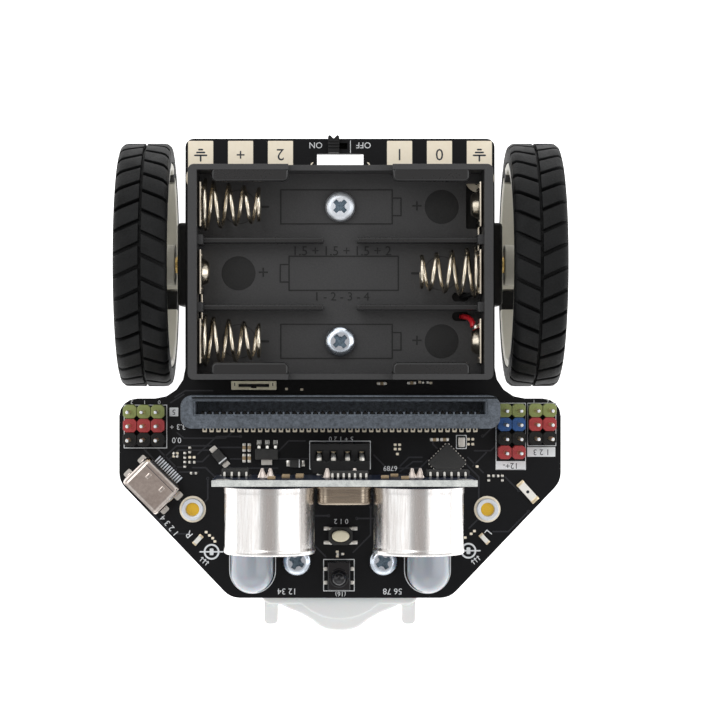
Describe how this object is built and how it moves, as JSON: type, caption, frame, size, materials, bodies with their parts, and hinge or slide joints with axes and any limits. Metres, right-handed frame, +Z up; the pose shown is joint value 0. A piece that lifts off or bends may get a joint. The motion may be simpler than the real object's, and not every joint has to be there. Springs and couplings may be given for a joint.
{
  "type": "line follower robot",
  "caption": "Two-wheeled line follower robot with battery box, edge connector, port headers, plug-in ultrasonic distance sensor and a ball caster.",
  "frame": {"origin": "on the floor under the middle of the overall box, wheels and caster ball standing on it", "axes": "+Z up, -Y is the driving direction (the sensor and caster end), +X is the robot's own left, wheel axles lie along X"},
  "size_m": [0.0808, 0.0908, 0.0608],
  "materials": {
    "board_mask": "satin black solder mask",
    "black_plastic": "moulded, fine grain",
    "box_plastic": "moulded, satin",
    "tyre_rubber": "matte rubber",
    "rim_plastic": "moulded, warm light grey",
    "zinc_steel": "zinc plated",
    "spring_nickel": "nickel plated spring wire and sheet",
    "brass": "machined",
    "sensor_aluminium": "satin drawn can",
    "caster_plastic": "moulded, slightly translucent",
    "lamp_lens": "milky diffusing lens",
    "crystal_can": "drawn can",
    "cream_plastic": "moulded",
    "key_plastic": "moulded",
    "red_wire": "wire insulation",
    "black_wire": "wire insulation",
    "sensor_board_mask": "blue solder mask"
  },
  "bodies": {
    "chassis": {"battery_box": "box_plastic", "battery_socket": "cream_plastic", "battery_wire_black": "black_wire", "battery_wire_red": "red_wire", "bus_port_header": "black_plastic", "caster_housing": "caster_plastic", "controller_chip": "black_plastic", "edge_connector": "black_plastic", "front_box_screw": "zinc_steel", "front_cell_spring": "spring_nickel", "front_link_contact": "spring_nickel", "front_positive_contact": "spring_nickel", "ir_receiver": "black_plastic", "key_switch_body": "zinc_steel", "left_board_nut": "zinc_steel", "left_caster_screw": "zinc_steel", "left_gearbox_frame": "brass", "left_lamp": "lamp_lens", "left_line_sensor": "black_plastic", "left_motor_bracket": "black_plastic", "left_motor_can": "zinc_steel", "main_board": "board_mask", "middle_cell_spring": "spring_nickel", "power_switch_body": "zinc_steel", "rear_box_screw": "zinc_steel", "rear_cell_spring": "spring_nickel", "rear_link_contact": "spring_nickel", "rear_negative_contact": "spring_nickel", "right_board_nut": "zinc_steel", "right_caster_screw": "zinc_steel", "right_gearbox_frame": "brass", "right_lamp": "lamp_lens", "right_line_sensor": "black_plastic", "right_motor_bracket": "black_plastic", "right_motor_can": "zinc_steel", "right_port_header": "black_plastic", "sensor_socket": "black_plastic", "servo_port_header": "black_plastic", "usb_shell": "zinc_steel", "usb_tongue": "black_plastic", "voltage_regulator": "black_plastic"},
    "left_wheel": {"left_output_shaft": "zinc_steel", "left_rim": "rim_plastic", "left_tyre": "tyre_rubber"},
    "left_idler": {"left_idler_gear": "brass"},
    "left_motor_rotor": {"left_rotor": "zinc_steel"},
    "right_wheel": {"right_output_shaft": "zinc_steel", "right_rim": "rim_plastic", "right_tyre": "tyre_rubber"},
    "right_idler": {"right_idler_gear": "brass"},
    "right_motor_rotor": {"right_rotor": "zinc_steel"},
    "caster_roller": {"caster_ball": "zinc_steel"},
    "power_slider": {"switch_knob": "black_plastic"},
    "calibration_key": {"key_button": "key_plastic"},
    "distance_sensor": {"sensor_board": "sensor_board_mask", "left_sensor_eye": "sensor_aluminium", "right_sensor_eye": "sensor_aluminium", "sensor_crystal": "crystal_can", "sensor_pin_header": "black_plastic"}
  },
  "joints": [
    {"name": "left_wheel_spin", "type": "hinge", "parent": "chassis", "child": "left_wheel", "pos_m": [0.03565, 0.022, 0.0225], "axis": [1, 0, 0], "continuous": true},
    {"name": "left_idler_spin", "type": "hinge", "parent": "chassis", "child": "left_idler", "pos_m": [0.023, 0.01971, 0.02021], "axis": [1, 0, 0], "continuous": true},
    {"name": "left_rotor_spin", "type": "hinge", "parent": "chassis", "child": "left_motor_rotor", "pos_m": [0.012, 0.022, 0.0225], "axis": [1, 0, 0], "continuous": true},
    {"name": "right_wheel_spin", "type": "hinge", "parent": "chassis", "child": "right_wheel", "pos_m": [-0.03565, 0.022, 0.0225], "axis": [1, 0, 0], "continuous": true},
    {"name": "right_idler_spin", "type": "hinge", "parent": "chassis", "child": "right_idler", "pos_m": [-0.023, 0.02429, 0.02021], "axis": [1, 0, 0], "continuous": true},
    {"name": "right_rotor_spin", "type": "hinge", "parent": "chassis", "child": "right_motor_rotor", "pos_m": [-0.012, 0.022, 0.0225], "axis": [1, 0, 0], "continuous": true},
    {"name": "caster_ball_roll", "type": "hinge", "parent": "chassis", "child": "caster_roller", "pos_m": [0, -0.033, 0.0075], "axis": [1, 0, 0], "continuous": true},
    {"name": "power_switch_slide", "type": "slide", "parent": "chassis", "child": "power_slider", "axis": [1, 0, 0], "range_m": [0, 0.002]},
    {"name": "key_press", "type": "slide", "parent": "chassis", "child": "calibration_key", "axis": [0, 0, -1], "range_m": [0, 0.00025], "stiffness_N_per_m": 1000},
    {"name": "distance_sensor_unplug", "type": "slide", "parent": "chassis", "child": "distance_sensor", "axis": [0, 0, 1], "range_m": [0, 0.006]}
  ],
  "couplings": [
    {"joint": "left_idler_spin", "follows": "left_wheel_spin", "ratio": -3},
    {"joint": "left_rotor_spin", "follows": "left_wheel_spin", "ratio": 9},
    {"joint": "right_idler_spin", "follows": "right_wheel_spin", "ratio": -3},
    {"joint": "right_rotor_spin", "follows": "right_wheel_spin", "ratio": 9}
  ]
}
